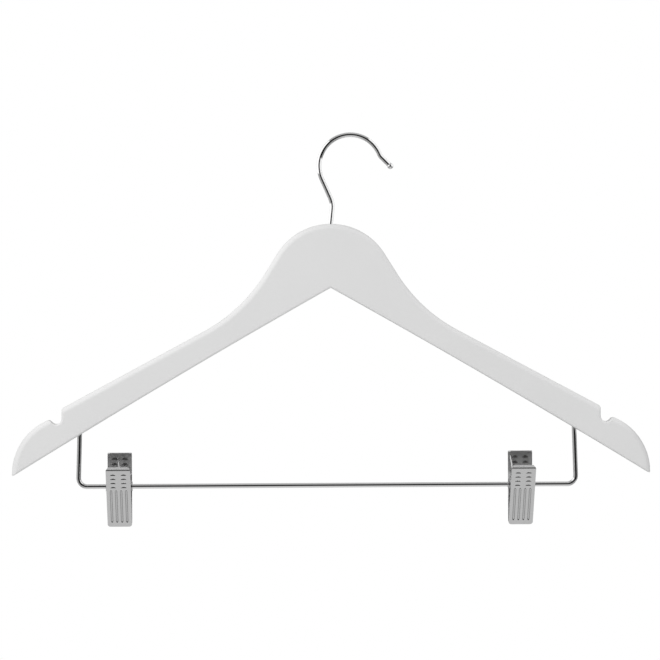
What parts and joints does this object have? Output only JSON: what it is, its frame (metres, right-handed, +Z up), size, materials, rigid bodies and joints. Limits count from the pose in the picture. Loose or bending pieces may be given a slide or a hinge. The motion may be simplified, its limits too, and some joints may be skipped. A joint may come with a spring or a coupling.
{
  "type": "skirt hanger",
  "caption": "Flat wooden clothes hanger with strap notches, a swivel wire hook and a wire bar below that carries sliding spring clips for skirts.",
  "frame": {"origin": "where the swivel axis meets the inside of the hook, on the middle plane of the wood", "axes": "+X to the right along the bar, +Y to the back, +Z up along the swivel axis"},
  "size_m": [0.445, 0.0324, 0.2747],
  "materials": {
    "white_lacquer": "white lacquer, satin",
    "chrome_wire": "bright plated wire",
    "plated_steel": "plated pressed sheet, slightly dull",
    "spring_steel": "bright drawn wire",
    "bush_steel": "plain",
    "black_rubber": "matt"
  },
  "bodies": {
    "hook": {"hook": "chrome_wire"},
    "frame": {"left_arm": "white_lacquer", "right_arm": "white_lacquer", "hook_bush": "bush_steel", "skirt_bar": "chrome_wire"},
    "left_clip_tube": {"left_pivot_tube": "plated_steel"},
    "left_clip_back": {"left_back_jaw": "plated_steel", "left_back_pad": "black_rubber", "left_spring": "spring_steel"},
    "left_clip_front": {"left_front_jaw": "plated_steel", "left_front_pad": "black_rubber"},
    "right_clip_tube": {"right_pivot_tube": "plated_steel"},
    "right_clip_back": {"right_back_jaw": "plated_steel", "right_back_pad": "black_rubber", "right_spring": "spring_steel"},
    "right_clip_front": {"right_front_jaw": "plated_steel", "right_front_pad": "black_rubber"}
  },
  "joints": [
    {"name": "hook_swivel", "type": "hinge", "parent": "hook", "child": "frame", "pos_m": [0, 0, -0.055], "axis": [0, 0, 1], "continuous": true},
    {"name": "left_clip_slide", "type": "slide", "parent": "frame", "child": "left_clip_tube", "axis": [1, 0, 0], "range_m": [-0.0129, 0.1384]},
    {"name": "left_clip_swing", "type": "hinge", "parent": "left_clip_tube", "child": "left_clip_back", "pos_m": [-0.1481, 0, -0.2373], "axis": [1, 0, 0], "continuous": true},
    {"name": "left_clip_open", "type": "hinge", "parent": "left_clip_back", "child": "left_clip_front", "pos_m": [-0.1481, 0, -0.2373], "axis": [-1, 0, 0], "range_deg": [0, 65], "stiffness_Nm_per_rad": 0.12, "springref_deg": -68.75, "deforming": ["left_spring"]},
    {"name": "right_clip_slide", "type": "slide", "parent": "frame", "child": "right_clip_tube", "axis": [1, 0, 0], "range_m": [-0.1228, 0.0227]},
    {"name": "right_clip_swing", "type": "hinge", "parent": "right_clip_tube", "child": "right_clip_back", "pos_m": [0.1325, 0, -0.2373], "axis": [1, 0, 0], "continuous": true},
    {"name": "right_clip_open", "type": "hinge", "parent": "right_clip_back", "child": "right_clip_front", "pos_m": [0.1325, 0, -0.2373], "axis": [-1, 0, 0], "range_deg": [0, 65], "stiffness_Nm_per_rad": 0.12, "springref_deg": -68.75, "deforming": ["right_spring"]}
  ]
}
